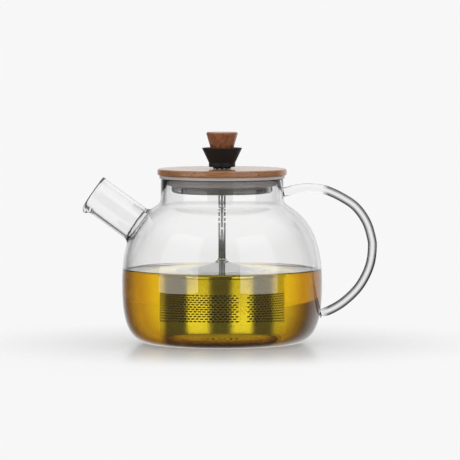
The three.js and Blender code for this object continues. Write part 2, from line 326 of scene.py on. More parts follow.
def tea_material():
    """Clear amber tea with a painted shade that browns and darkens it towards the sides, standing in for the
    dark studio seen there and for a way through it that is longer than it looks.
    """
    mat, tree, shader = material("tea", Roughness=0.0, IOR=1.333, Transmission_Weight=1.0)
    slant = add(tree, "ShaderNodeLayerWeight", Blend=0.5)
    # The painted shade: a brown to dark tint on the tea's colour where it is seen slantwise, clear again at
    # the very edge.
    edge = ramp(tree, slant.outputs["Facing"], [
        (0.07, (1, 1, 1)), (0.115, (0.95, 0.9, 0.85)), (0.146, (0.7, 0.5, 0.48)), (0.172, (0.5, 0.28, 0.25)),
        (0.2, (0.45, 0.25, 0.2)), (0.24, (0.2, 0.09, 0.05)), (0.42, (0.2, 0.1, 0.06)), (0.6, (1, 1, 1))])
    tree.links.new(edge, shader.inputs["Base Color"])
    absorb = add(tree, "ShaderNodeVolumeAbsorption", Density=60.0)
    absorb.inputs["Color"].default_value = (0.973, 0.908, 0.0, 1)
    tree.links.new(absorb.outputs["Volume"], tree.nodes["Material Output"].inputs["Volume"])
    ripples = noise(tree, 30, detail=1)
    bump(tree, shader, ripples, 0.03, 0.001)
    return mat


def wood_material(name, dark, mid, light, along=(1, 0, 0), rough=0.5, pore=0.5):
    """Lacquered wood with fine straight grain along one axis and short dark pores."""
    mat, tree, shader = material(name, Roughness=rough, Specular_IOR_Level=0.2,
                                 Coat_Weight=0.8, Coat_Roughness=0.14)
    squeeze = [1 if axis else 14 for axis in along]
    fibres = noise(tree, 60, stretch=squeeze, detail=6, roughness=0.6)
    bands = noise(tree, 9, stretch=[0.4 if axis else 5 for axis in along], detail=2)
    mix = add(tree, "ShaderNodeMath", operation="MULTIPLY_ADD")
    tree.links.new(fibres, mix.inputs[0])
    mix.inputs[1].default_value = 0.65
    tree.links.new(value_range(tree, bands, 0.0, 0.35), mix.inputs[2])
    colour = ramp(tree, mix.outputs["Value"], [(0.32, dark), (0.5, mid), (0.68, light)])
    pores = noise(tree, 260, stretch=[0.3 if axis else 4 for axis in along], detail=2)
    specks = ramp(tree, pores, [(0.36, (pore, pore, pore)), (0.46, (1, 1, 1))])
    blend = add(tree, "ShaderNodeMix", data_type="RGBA", blend_type="MULTIPLY")
    blend.inputs["Factor"].default_value = 0.7
    tree.links.new(colour, blend.inputs["A"])
    tree.links.new(specks, blend.inputs["B"])
    tree.links.new(blend.outputs["Result"], shader.inputs["Base Color"])
    tree.links.new(value_range(tree, fibres, rough - 0.1, rough + 0.12), shader.inputs["Roughness"])
    bump(tree, shader, pores, 0.25, 0.0002)
    return mat


def steel_material(name, colour, rough, brush=(40, 40, 600)):
    """Bright stainless steel with faint turning marks."""
    mat, tree, shader = material(name, Base_Color=colour, Metallic=1.0, Roughness=rough)
    marks = noise(tree, 1, stretch=brush, detail=3)
    tree.links.new(value_range(tree, marks, rough - 0.05, rough + 0.08), shader.inputs["Roughness"])
    bump(tree, shader, marks, 0.05, 0.0001)
    return mat


def black_silicone_material():
    mat, tree, shader = material("black_silicone", Base_Color=(0.012, 0.012, 0.013), Roughness=0.5,
                                 Specular_IOR_Level=0.35)
    skin = noise(tree, 900, detail=3)
    tree.links.new(value_range(tree, skin, 0.42, 0.6), shader.inputs["Roughness"])
    bump(tree, shader, skin, 0.12, 0.0002)
    return mat


def clear_silicone_material():
    mat, tree, shader = material("clear_silicone", Base_Color=(0.80, 0.74, 0.71), Roughness=0.35, IOR=1.4,
                                 Transmission_Weight=0.45)
    haze = noise(tree, 220, detail=3)
    tree.links.new(value_range(tree, haze, 0.3, 0.45), shader.inputs["Roughness"])
    return mat


def brass_material():
    mat, tree, shader = material("brass", Base_Color=(0.62, 0.45, 0.2), Metallic=1.0, Roughness=0.3)
    marks = noise(tree, 1, stretch=(60, 60, 900), detail=3)
    tree.links.new(value_range(tree, marks, 0.22, 0.4), shader.inputs["Roughness"])
    return mat


def leaf_material():
    mat, tree, shader = material("steeped_leaves", Roughness=0.6, Specular_IOR_Level=0.3)
    curl = noise(tree, 420, stretch=(1, 1, 2.2), detail=5)
    colour = ramp(tree, curl, [
        (0.35, (0.006, 0.004, 0.002)), (0.55, (0.03, 0.018, 0.006)), (0.75, (0.08, 0.05, 0.015))])
    tree.links.new(colour, shader.inputs["Base Color"])
    bump(tree, shader, curl, 0.8, 0.0006)
    return mat


GLASS = glass_material()
LEAF = leaf_material()
TEA = tea_material()
LID_WOOD = wood_material("lid_wood", (0.18, 0.068, 0.022), (0.31, 0.128, 0.046), (0.42, 0.2, 0.08))
KNOB_WOOD = wood_material("knob_wood", (0.15, 0.045, 0.018), (0.30, 0.105, 0.042), (0.42, 0.17, 0.075),
                          along=(0, 0, 1), rough=0.42)
STEEL = steel_material("polished_steel", (0.58, 0.58, 0.57), 0.09)
ROD_STEEL = steel_material("rod_steel", (0.42, 0.42, 0.42), 0.06, brush=(900, 900, 30))
BASKET_STEEL = steel_material("perforated_steel", (0.66, 0.65, 0.62), 0.2)
BLACK = black_silicone_material()
CLEAR = clear_silicone_material()
BRASS = brass_material()


def finish_piece(piece, mat, body, slot, *nodes):
    """Dresses a piece, joins it to a body and lets it stand for CAD nodes."""
    piece.data.materials.clear()
    piece.data.materials.append(mat)
    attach(piece, body)
    if nodes:
        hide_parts(*nodes)
    return piece


# ---- glass ----
def pot_outline():
    """The pot's outside, from the foot to just under the rim."""
    r, z = SHOULDER
    dr, dz = math.cos(SHOULDER_SLOPE), -math.sin(SHOULDER_SLOPE)
    # How far each curve runs straight on from its two ends.
    belly_pull = (18, 26.5)
    upper_pull = (25.7, 19.2)
    neck_pull = (3.6, 5.2)
    belly = bezier((FOOT_R, 0), (FOOT_R + belly_pull[0], 0),
                   (BODY_R, BODY_Z - belly_pull[1]), (BODY_R, BODY_Z), 40)
    upper = bezier((BODY_R, BODY_Z), (BODY_R, BODY_Z + upper_pull[0]),
                   (r + upper_pull[1] * dr, z + upper_pull[1] * dz), (r, z), 36)
    neck = bezier((r, z), (r - neck_pull[0] * dr, z - neck_pull[0] * dz),
                  (NECK_R, NECK_Z - neck_pull[1]), (NECK_R, NECK_Z), 14)
    return belly + upper[1:] + neck[1:] + [(NECK_R, RIM_Z - 1.2)]


def pushed_up(base, edge):
    """The raised centre of the foot, from the axis outwards, on a base height. The edge ends it."""
    steps = [(0, PUSH_RISE), (PUSH_R - 9, PUSH_RISE * 0.95), (PUSH_R - 5, PUSH_RISE * 0.7)]
    return [(r, base + z) for r, z in steps] + edge


def moved_in(outline, depth):
    """The outline moved in by a depth, along its own normals."""
    inside = []
    for i, (r, z) in enumerate(outline):
        r0, z0 = outline[max(i - 1, 0)]
        r1, z1 = outline[min(i + 1, len(outline) - 1)]
        length = math.hypot(r1 - r0, z1 - z0)
        inside.append((r - depth * (z1 - z0) / length, z + depth * (r1 - r0) / length))
    return inside


SPOUT_R = 12.5
SPOUT_WALL = 2.0
SPOUT_TIP = (-88.0, 103.0)
SPOUT_RISE = 36.2       # degrees above level
SPOUT_PLACE = Matrix.Translation((SPOUT_TIP[0], 0, SPOUT_TIP[1])) @ Matrix.Rotation(
    math.radians(SPOUT_RISE - 90), 4, "Y")


# The mouth's section, from the rim back along the tube: its plain upper side and its flared pouring side.
OUTER_LIP = (
    [(11.6, 0.3), (12.1, 0.25), (12.5, 0.0), (12.75, -0.5), (12.7, -1.2), (12.55, -2.4), (12.45, -4),
     (12.4, -6), (12.4, -9)],
    [(11.6, -0.4), (12.4, -0.7), (13.6, -1.5), (14.7, -2.6), (15.0, -3.5), (14.7, -4.4), (13.6, -5.6),
     (12.7, -7.2), (12.4, -9)],
)
INNER_LIP = (
    [(11.62, 2.5), (11.62, 0.1), (11.1, -0.4), (10.7, -1.2), (10.45, -3), (10.4, -6)],
    [(11.62, 1.5), (11.62, -0.5), (11.3, -1.0), (10.95, -2.2), (10.6, -4), (10.4, -7)],
)


def lip_between(plain, poured):
    """The mouth's section at a point of its edge, from 0, plain, to 1, fully poured."""
    def section(pour):
        return [tuple(a + (b - a) * pour for a, b in zip(p, q)) for p, q in zip(plain, poured)]
    return section


def radius_at(outline, z):
    """The outline's radius at a height."""
    for (r0, z0), (r1, z1) in zip(outline, outline[1:]):
        if z0 <= z <= z1:
            return r0 + (r1 - r0) * (z - z0) / max(z1 - z0, 1e-6)
    return outline[-1][0] if z > outline[-1][1] else 0


def reach_of_spout(start, outline):
    """How far back along the spout a point has to move before it is inside a turned outline."""
    back = 0.0
    while back < 60:
        point = SPOUT_PLACE @ (start + Vector((0, 0, -back)))
        if math.hypot(point.x, point.y) < radius_at(outline, point.z):
            break
        back += 0.25
    return back


def spout_bmesh(radius, outline, lip, blend, deep):
    """A tube along the spout. Its root flares out by blend, and ends deep inside a turned outline."""
    bm = bmesh.new()
    columns = []
    for i in range(SMALL_TURN):
        angle = 2 * math.pi * i / SMALL_TURN
        side = Vector((math.cos(angle), math.sin(angle), 0))
        back = reach_of_spout(side * radius, outline)
        pour = (0.5 - 0.5 * math.cos(angle)) ** 3
        column = [side * r + Vector((0, 0, z)) for r, z in lip(pour)]
        steps = 12
        for k in range(steps + 1):
            t = k / steps
            flare = blend * (1 - math.cos(t * math.pi / 2)) if k else 0
            depth = back - blend + blend * math.sin(t * math.pi / 2) + deep * t
            column.append(side * (radius + flare) + Vector((0, 0, -depth)))
        columns.append([bm.verts.new(SPOUT_PLACE @ p) for p in column])
    for i in range(SMALL_TURN):
        a, b = columns[i], columns[(i + 1) % SMALL_TURN]
        for k in range(len(a) - 1):
            bm.faces.new((a[k], a[k + 1], b[k + 1], b[k]))
    bm.faces.new([c[0] for c in columns])
    bm.faces.new([c[-1] for c in reversed(columns)])
    return bm


def smooth_line(line, steps):
    """Points along a smooth curve that passes through a line of (x, z) points."""
    points = [Vector((x, 0, z)) for x, z in line]
    path = []
    for i in range(steps + 1):
        t = i / steps * (len(points) - 1)
        k = min(int(t), len(points) - 2)
        u = t - k
        p0, p1 = points[max(k - 1, 0)], points[k]
        p2, p3 = points[k + 1], points[min(k + 2, len(points) - 1)]
        path.append(0.5 * (2 * p1 + (p2 - p0) * u + (2 * p0 - 5 * p1 + 4 * p2 - p3) * u * u
                           + (3 * p1 - p0 - 3 * p2 + p3) * u ** 3))
    return path


def handle_bmesh(line, radius, steps=160, sides=40):
    """A round rod along a smooth line of (x, z) points, with flat ends."""
    path = smooth_line(line, steps)
    bm = bmesh.new()
    rings = []
    total = len(path) - 1
    for i, here in enumerate(path):
        along = (path[min(i + 1, total)] - path[max(i - 1, 0)]).normalized()
        across = Vector((0, 1, 0))
        up = along.cross(across)
        ring = []
        for k in range(sides):
            angle = 2 * math.pi * k / sides
            out = math.cos(angle) * across + math.sin(angle) * up
            ring.append(bm.verts.new(here + radius(i / total) * out))
        rings.append(ring)
    for low, high in zip(rings, rings[1:]):
        for k in range(sides):
            j = (k + 1) % sides
            bm.faces.new((low[k], low[j], high[j], high[k]))
    bm.faces.new(rings[0])
    bm.faces.new(list(reversed(rings[-1])))
    return bm


HANDLE_R = 3.1
HANDLE_LINE = [
    (40.9, 102.8), (44.5, 103.5), (51, 105), (59, 105.8), (70.5, 104.3), (82, 99.1), (91.3, 92.5),
    (98.3, 82.5), (101.7, 71.7), (102.3, 64.9), (101, 54.7), (97.3, 45.2), (91.5, 36.4), (82.4, 27.9),
    (73.5, 22.6), (66.2, 20.2),
]


def handle_radius(t):
    """The rod's radius along its length: a weld pad at the neck and a slimmer bridge at the belly."""
    pad = 2.0 * math.exp(-(t / 0.012) ** 2)
    bridge, weld = 0.955, 0.985
    if t < weld:
        thin = max(0.0, (t - bridge) / (weld - bridge))
    else:
        thin = 1.0 - 1.6 * (t - weld) / (1 - weld)
    return HANDLE_R + pad - thin


def make_glass():
    """Body, spout and handle are fused glass, so they are one piece."""
    outside = pot_outline()
    inside = moved_in(outside, WALL)
    foot = pushed_up(0, [(PUSH_R - 2, PUSH_RISE * 0.2), (PUSH_R, 0)])
    rim = [(NECK_R - 0.3, RIM_Z - 0.35), (NECK_R - 1.1, RIM_Z)]
    shell = turned("pot_glass", foot + outside + rim + [(0, RIM_Z)])

    floor = pushed_up(WALL, [(PUSH_R, WALL + 0.05)])
    mouth_r = NECK_R - 1.12
    brim = [(NECK_R - WALL + 0.3, RIM_Z - 0.35), (mouth_r, RIM_Z + 0.02), (mouth_r, RIM_Z + 3)]
    hollow = turned("hollow", floor + inside + brim + [(0, RIM_Z + 3)])

    tube = spout_bmesh(SPOUT_R, outside, lip_between(*OUTER_LIP), blend=3.6, deep=1.2)
    spout = new_piece("spout_outer", tube)
    tube = spout_bmesh(SPOUT_R - SPOUT_WALL, inside, lip_between(*INNER_LIP), blend=0.8, deep=3)
    bore = new_piece("spout_bore", tube)
    handle = new_piece("handle_rod", handle_bmesh(HANDLE_LINE, handle_radius))
    boolean(shell, [spout, handle], "UNION")
    boolean(shell, [hollow, bore], sharp=42)
    return finish_piece(shell, GLASS, "pot", "glass", "glass_body", "spout", "handle")


# ---- tea ----
def make_tea():
    """The tea reaches a little way into the glass, so that no air is left between them."""
    soak = 0.25
    inside = moved_in(pot_outline(), WALL - soak)
    wetted = [(r, z) for r, z in inside if z < TEA_Z]
    base = WALL - soak
    floor = pushed_up(base, [(PUSH_R, base + 0.05)])
    edge = wetted[-1][0] + 0.02
    # The surface climbs a little where it meets the glass.
    climb = [(edge, TEA_Z + 1.0)]
    for inward, up in ((0.15, 1.0), (0.35, 0.55), (0.9, 0.22), (1.8, 0.05), (3, 0)):
        climb.append((edge - soak - inward, TEA_Z + up))
    tea = turned("tea", floor + wetted + climb + [(30, TEA_Z), (14, TEA_Z), (0, TEA_Z)])
    return finish_piece(tea, TEA, "pot", "tea")


# ---- lid ----
BUSH_R = 3.9
BUSH_CLEAR = 0.3


def make_lid_disc():
    low, high = DISC_LOW.z, DISC_HIGH.z
    outer = (DISC_HIGH.x - DISC_LOW.x) / 2
    hole = BUSH_R + BUSH_CLEAR
    disc = turned("lid_disc_wood", rounded([
        (hole, low), (outer, low, 0.9), (outer, high, 1.5), (hole, high, 0.3),
    ], 8))
    return finish_piece(disc, LID_WOOD, "lid", "lid_wood", "lid_disc")


PAN_R = 37.4
PAN_STEP_R = 35.2
PAN_STEP_Z = 106.3
VENT_R = 0.7
VENT_RISE = 2.3         # above the pan's floor
VENT_SPREAD = 0.04      # half the angle between a pair's holes, in radians


def make_lid_pan():
    """A stepped pan with a pair of vent holes in each quarter."""
    low, high = PAN_LOW.z, PAN_HIGH.z
    skin = 0.6
    hole = BUSH_R + BUSH_CLEAR
    inner_r, inner_step_r, inner_step_z = PAN_R - skin, PAN_STEP_R - skin, PAN_STEP_Z + skin
    outline = rounded([
        (hole, low), (PAN_STEP_R, low, 1.4), (PAN_STEP_R, PAN_STEP_Z, 0.5), (PAN_R, PAN_STEP_Z, 0.9),
        (PAN_R, high), (inner_r, high), (inner_r, inner_step_z, 0.4), (inner_step_r, inner_step_z, 0.9),
        (inner_step_r, low + skin, 0.9), (hole, low + skin),
    ], 6)
    pan = turned("lid_pan_steel", outline)
    holes = []
    for quarter in range(4):
        for spread in (-VENT_SPREAD, VENT_SPREAD):
            angle = math.pi / 4 + math.pi / 2 * quarter + spread
            side = Vector((math.cos(angle), math.sin(angle), 0))
            centre = side * PAN_STEP_R + Vector((0, 0, low + VENT_RISE))
            holes.append(rod_bmesh(VENT_R, 3, centre, side, 16))
    boolean(pan, [new_piece("vents", merged(holes))])
    return finish_piece(pan, STEEL, "lid", "polished_steel", "lid_pan")


def make_gasket():
    """An L-shaped ring: two soft lips against the neck and a flange on the rim."""
    inner, outer, lip, flange_r = 37.6, 38.6, 39.3, 42.6
    low = 106.6
    flange = RIM_Z + 0.15
    top = DISC_LOW.z - 0.1
    outline = rounded([
        (inner, low, 0.2), (lip, low + 1.3, 0.25), (outer, low + 2.5, 0.3), (outer, low + 3.2, 0.3),
        (lip, low + 4.2, 0.25), (outer, low + 5, 0.2), (outer, flange, 0.2), (flange_r, flange, 0.4),
        (flange_r, top, 0.4), (inner, top),
    ], 4)
    gasket = turned("lid_gasket_silicone", outline)
    return finish_piece(gasket, CLEAR, "lid", "clear_silicone", "lid_gasket")


def make_bush():
    """The flanged sleeve that the rod slides in."""
    low, high = (corner.z for corner in span("lid_bush"))
    inner, flange_r, flange = 2.75, 5.6, 0.7
    bush = turned("lid_bush_steel", rounded([
        (inner, low, 0.15), (flange_r, low, 0.3), (flange_r, low + flange, 0.1), (BUSH_R, low + flange),
        (BUSH_R, high, 0.2), (inner, high, 0.2),
    ], 4), SMALL_TURN)
    return finish_piece(bush, STEEL, "lid", "polished_steel", "lid_bush")


def make_collar():
    """A black silicone funnel with a thin rim, on a short neck."""
    low, high = COLLAR_LOW.z, COLLAR_HIGH.z
    bore = BUSH_R + 0.1
    neck_r, neck = 6.15, 1.0
    barrel_r, barrel_top = 9, 123.1
    mouth_r, inner_mouth_r = 13.75, 12.8
    floor_r, floor = 8.2, 124.4
    collar = turned("grip_collar_silicone", rounded([
        (bore, low), (neck_r, low), (neck_r, low + neck, 0.2), (barrel_r, low + neck, 0.7),
        (barrel_r, barrel_top, 1.2), (mouth_r, high, 0.35), (inner_mouth_r, high - 0.1, 0.3),
        (floor_r, floor, 1.0), (bore, floor),
    ], 6), SMALL_TURN)
    return finish_piece(collar, BLACK, "lid", "black_silicone", "grip_collar")


# ---- plunger ----
ROD_R = 2.5
NOTCHES = (83.2, 86.6, 90.3)
NOTCH_HEIGHT = 1.1
CROSS_HOLE_Z = 78.6
CROSS_HOLE_R = 0.8


def make_knob():
    """A truncated cone with a bore for its plug."""
    low, high = KNOB_LOW.z, KNOB_HIGH.z
    bore, deep = ROD_R + 0.2, 4
    side = rounded([
        (bore, low + deep), (bore, low, 0.2), (6, low, 0.8), (7.75, 132.5), (10.85, high - 0.9, 1.3),
        (10.1, high, 1.1), (4, high),
    ], 7)
    knob = turned("knob_wood_cone", [(0, low + deep)] + side + [(0, high)], SMALL_TURN)
    return finish_piece(knob, KNOB_WOOD, "plunger", "knob_wood", "knob")


def make_rod():
    """A tube with notches on both sides and a cross hole each way."""
    low, high = ROD_LOW.z, ROD_HIGH.z
    bore = ROD_R - 0.6
    rod = turned("pull_rod_steel", rounded([
        (bore, low), (ROD_R, low, 0.1), (ROD_R, high, 0.2), (bore, high),
    ], 3), 64)
    web = 1.2
    bite = ROD_R - web
    cuts = []
    for z in NOTCHES:
        for side in (0, 180):
            cuts.append(block_bmesh((bite, 6, NOTCH_HEIGHT), (web + bite / 2 + 0.01, 0, z), side))
    for direction in ((0, 1, 0), (1, 0, 0)):
        cuts.append(rod_bmesh(CROSS_HOLE_R, 8, (0, 0, CROSS_HOLE_Z), direction, 20))
    boolean(rod, [new_piece("cut", bm) for bm in cuts])
    return finish_piece(rod, ROD_STEEL, "plunger", "polished_steel", "pull_rod")


def make_rod_collar():
    low, high = (corner.z for corner in span("rod_collar"))
    inner, foot_r = ROD_R + 0.1, 4.6
    collar = turned("rod_collar_steel", rounded([
        (inner, low), (foot_r, low, 0.15), (foot_r, low + 0.5, 0.25), (3.1, low + 1.6, 0.6),
        (2.95, high, 0.2), (inner, high),
    ], 5), SMALL_TURN)
    return finish_piece(collar, STEEL, "plunger", "polished_steel", "rod_collar")


def sector_bmesh(inner, outer, start, end, low, high, steps=10):
    """A piece of a flat ring between two angles, in degrees."""
    bm = bmesh.new()
    rows = []
    for i in range(steps + 1):
        angle = math.radians(start + (end - start) * i / steps)
        c, s = math.cos(angle), math.sin(angle)
        rows.append([bm.verts.new((r * c, r * s, z)) for r, z in
                     ((inner, low), (outer, low), (outer, high), (inner, high))])
    for a, b in zip(rows, rows[1:]):
        for k in range(4):
            j = (k + 1) % 4
            bm.faces.new((a[k], a[j], b[j], b[k]))
    bm.faces.new(rows[0])
    bm.faces.new(list(reversed(rows[-1])))
    return bm


LUG_Z = 47.0
LUG_R = 0.55
LUGS = 3
LOCK_RUN = 24           # degrees from locked to free


def make_cap():
    """A shallow cone that turns down into a skirt with three bayonet slots."""
    apex = CAP_HIGH.z
    edge = 48.7
    outer = (CAP_HIGH.x - CAP_LOW.x) / 2
    skirt = CAP_LOW.z
    skin = 0.5
    bore, flat_r = 2.1, 5
    slope = (apex - edge) / (outer - flat_r)
    cap = turned("infuser_cap_steel", rounded([
        (bore, apex), (flat_r, apex, 0.6), (outer, apex - slope * (outer - flat_r), 1.2),
        (outer, skirt, 0.15), (outer - skin, skirt, 0.15), (outer - skin, edge - skin, 0.8),
        (flat_r, apex - skin), (bore, apex - skin),
    ], 6))
    cuts = []
    half = LUG_R + 0.3
    wide = 2.6              # degrees that a lug needs
    inside, outside = outer - 1.4, outer + 1
    for i in range(LUGS):
        at = 360 / LUGS * i
        free = at + LOCK_RUN
        cuts.append(sector_bmesh(inside, outside, at - wide / 2, free + wide, LUG_Z - half, LUG_Z + half))
        cuts.append(sector_bmesh(inside, outside, free - wide / 2, free + wide, skirt - 1, LUG_Z, 4))
    boolean(cap, [new_piece("lock", bm) for bm in cuts])
    return finish_piece(cap, STEEL, "plunger", "polished_steel", "infuser_cap")


# ---- basket ----
BASKET_R = 31.8
BASKET_SKIN = 0.5
SLOT_ROWS = 12
SLOT_COLUMNS = 70
SEAM = (-67.5, 8.0)     # the plain strip: its middle, and its width, in degrees from +X
SLOT_SIZE = (2.1, 0.8)
SLOT_Z = (19.3, 35.2)   # heights of the lowest and highest row
FLOOR_RING_WIDTH = 7.8
FLOOR_HOLE_R = 0.65
FLOOR_HOLE_PITCH = 2.7
FLOOR_HOLE_RINGS = 8


def slot_corners(half_pitch, half_row):
    """The hole's outline and the cell's, with the same number of points, as (across, up)."""
    length, height = SLOT_SIZE
    r = height / 2
    flat = length / 2 - r
    hole = []
    for cx, start in ((flat, -90), (-flat, 90)):
        for k in range(5):
            a = math.radians(start + 45 * k)
            hole.append((cx + r * math.cos(a), r * math.sin(a)))
    cell = []
    for way in (1, -1):
        cell += [(way * flat, -way * half_row), (way * half_pitch, -way * half_row), (way * half_pitch, 0),
                 (way * half_pitch, way * half_row), (way * flat, way * half_row)]
    return hole, cell


def make_basket_wall():
    """A thin tube with rows of round-ended slots, a plain seam strip and three lugs."""
    bm = bmesh.new()
    start = math.radians(SEAM[0] + SEAM[1] / 2)
    turn = math.radians(360 - SEAM[1])
    pitch = turn / SLOT_COLUMNS
    row_pitch = (SLOT_Z[1] - SLOT_Z[0]) / (SLOT_ROWS - 1)
    hole, cell = slot_corners(pitch * BASKET_R / 2, row_pitch / 2)
    radii = (BASKET_R, BASKET_R - BASKET_SKIN)

    def point(radius, angle, z):
        return bm.verts.new((radius * math.cos(angle), radius * math.sin(angle), z))

    def band(angle0, angle1, z0, z1, steps):
        for radius in radii:
            for i in range(steps):
                a0 = angle0 + (angle1 - angle0) * i / steps
                a1 = angle0 + (angle1 - angle0) * (i + 1) / steps
                corners = ((a0, z0), (a1, z0), (a1, z1), (a0, z1))
                bm.faces.new([point(radius, angle, z) for angle, z in corners])

    def slotted_cell(angle, z):
        rings = []
        for radius in radii:
            rings.append([point(radius, angle + x / BASKET_R, z + y) for x, y in hole])
            rim = [point(radius, angle + x / BASKET_R, z + y) for x, y in cell]
            count = len(hole)
            for k in range(count):
                j = (k + 1) % count
                bm.faces.new((rings[-1][k], rim[k], rim[j], rings[-1][j]))
        for k in range(len(hole)):
            j = (k + 1) % len(hole)
            bm.faces.new((rings[0][k], rings[0][j], rings[1][j], rings[1][k]))

    for row in range(SLOT_ROWS):
        z = SLOT_Z[0] + row * row_pitch
        shifted = row % 2
        columns = SLOT_COLUMNS - shifted
        first = start + pitch * (0.5 + shifted / 2)
        for i in range(columns):
            slotted_cell(first + i * pitch, z)
        low, high = z - row_pitch / 2, z + row_pitch / 2
        if shifted:
            band(start, start + pitch / 2, low, high, 1)
            band(start + turn - pitch / 2, start + turn, low, high, 1)
        band(start + turn, start + 2 * math.pi, low, high, 4)
    low, high = SLOT_Z[0] - row_pitch / 2, SLOT_Z[1] + row_pitch / 2
    bottom, top = BASKET_LOW.z, BASKET_HIGH.z
    band(0, 2 * math.pi, bottom, low, TURN)
    band(0, 2 * math.pi, high, top, TURN)
    for z in (bottom, top):
        for i in range(TURN):
            a0, a1 = 2 * math.pi * i / TURN, 2 * math.pi * (i + 1) / TURN
            corners = ((radii[0], a0), (radii[0], a1), (radii[1], a1), (radii[1], a0))
            bm.faces.new([point(radius, angle, z) for radius, angle in corners])
    bmesh.ops.remove_doubles(bm, verts=bm.verts, dist=0.004)
    extras = []
    for i in range(LUGS):
        angle = math.radians(360 / LUGS * i)
        side = Vector((math.cos(angle), math.sin(angle), 0))
        extras.append(rod_bmesh(LUG_R, 0.9, side * (BASKET_R + 0.1) + Vector((0, 0, LUG_Z)), side, 16))
    # The seam's lapped edge, a hair proud of the wall.
    edge = SEAM[0] - SEAM[1] / 2 + 1
    extras.append(sector_bmesh(BASKET_R - 0.1, BASKET_R + 0.12, edge, edge + SEAM[1] - 2,
                               bottom + 0.3, top - 2.5, 6))
    wall = new_piece("basket_wall_slotted", merged([bm] + extras))
    return finish_piece(wall, BASKET_STEEL, "basket", "perforated_steel", "basket_wall")


def make_basket_rim():
    high = span("basket_rim")[1].z
    outer = BASKET_R - BASKET_SKIN - 0.05
    inner, low = outer - 1.4, high - 1.3
    rim = turned("basket_rim_bead", rounded([
        (inner, low, 0.5), (outer, low, 0.3), (outer, high, 0.4), (inner, high, 0.6),
    ], 6))
    return finish_piece(rim, BASKET_STEEL, "basket", "perforated_steel", "basket_rim")


def make_basket_floor():
    low, high = (corner.z for corner in span("basket_floor"))
    edge = BASKET_R - BASKET_SKIN - 0.4
    plate = turned("basket_floor_perforated", [(0, low), (edge, low), (edge, high), (0, high)])
    holes = []
    for ring in range(1, FLOOR_HOLE_RINGS + 1):
        reach = FLOOR_HOLE_PITCH * ring
        for i in range(6 * ring):
            angle = 2 * math.pi * i / (6 * ring)
            centre = (reach * math.cos(angle), reach * math.sin(angle), (low + high) / 2)
            holes.append(rod_bmesh(FLOOR_HOLE_R, 2, centre, (0, 0, 1), 12))
    boolean(plate, [new_piece("holes", merged(holes))])
    return finish_piece(plate, BASKET_STEEL, "basket", "perforated_steel", "basket_floor")


def make_floor_ring():
    low, high = (corner.z for corner in span("floor_ring"))
    inner = BASKET_R - FLOOR_RING_WIDTH
    ring = turned("basket_floor_ring", rounded([
        (inner, low, 0.15), (BASKET_R, low, 0.5), (BASKET_R, high, 0.1), (inner, high, 0.15),
    ], 5))
    return finish_piece(ring, BASKET_STEEL, "basket", "perforated_steel", "floor_ring")


LEAF_TOP = 37.0
LEAF_LUMPS = 1.1        # how far the leaves' side falls back from the wall


def make_leaves():
    """Steeped leaves that fill the slotted part of the basket, as a lumpy closed mass."""
    low = span("basket_floor")[1].z + 0.15
    high, reach = LEAF_TOP, BASKET_R - BASKET_SKIN - 0.35
    rows = 20
    bm = bmesh.new()
    rings = []
    for k in range(rows + 1):
        z = low + (high - low) * k / rows
        ring = []
        for i in range(TURN):
            angle = 2 * math.pi * i / TURN
            lump = mathutils_noise.noise(Vector((9 * math.cos(angle), 9 * math.sin(angle), z * 0.45)))
            radius = reach - LEAF_LUMPS * (0.5 + 0.5 * lump)
            ring.append(bm.verts.new((radius * math.cos(angle), radius * math.sin(angle), z)))
        rings.append(ring)
    # The top, in rings towards the middle: how far out each is, and how uneven.
    for scale, sink in ((0.75, 0.5), (0.4, 1.2), (0.12, 0.3)):
        ring = []
        for i in range(TURN):
            angle = 2 * math.pi * i / TURN
            at = Vector((reach * scale * math.cos(angle), reach * scale * math.sin(angle), 0))
            ring.append(bm.verts.new(at + Vector((0, 0, high + sink * mathutils_noise.noise(at * 0.3)))))
        rings.append(ring)
    for lower, upper in zip(rings, rings[1:]):
        for i in range(TURN):
            j = (i + 1) % TURN
            bm.faces.new((lower[i], lower[j], upper[j], upper[i]))
    bm.faces.new(list(reversed(rings[0])))
    bm.faces.new(rings[-1])
    leaves = new_piece("steeped_leaves", bm)
    return finish_piece(leaves, LEAF, "basket", "tea")


def dress_cad_nodes():
    """Hidden fasteners keep their CAD shape."""
    finishes = {"bush_nut": STEEL, "knob_plug": BRASS, "rod_stud": STEEL, "cap_nut": STEEL}
    for node, mat in finishes.items():
        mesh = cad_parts[node].data
        mesh.materials.clear()
        mesh.materials.append(mat)


# ---- stage, light and camera ----
VIEW_DISTANCE = 3.0
VIEW_RISE = 3.3          # degrees above level
FRAME_WIDTH = 0.313      # metres across the picture at the pot
FLOOR_REACH = 120        # metres
FLOOR_GLOW = 0.395       # how much the floor shines by itself
FLOOR_GLOSS = 0.5        # share of gloss beside the pot
GLOSS_FADE = (0.07, 0.2)     # metres from the axis where the gloss starts and stops fading
WORLD_BRIGHT = 0.93      # behind the pot
WORLD_GREY = 0.13        # at its sides and in front
WORLD_TOP = 1.35
WORLD_LEAN = 0.25        # how much further the bright part reaches on the handle's side
BACK_FADE = (0.6, 0.95)  # from grey to bright, as the share of a direction that points backwards
TOP_FADE = (0.3, 0.85)   # the same for upwards
SOFTBOX_SIDES = (("left", -52, 1.15), ("right", 43, 1.05))      # name, azimuth and width
SOFTBOX_PARTS = (("low", 0.305, 1.8, -0.08), ("high", 1.2, 0.7, 0.225))   # height, radiance and base
SOFTBOX_DISTANCE = 1.25
AIM = Vector(((AXIS_X + 5.4) * MM, 0, 77.1 * MM))


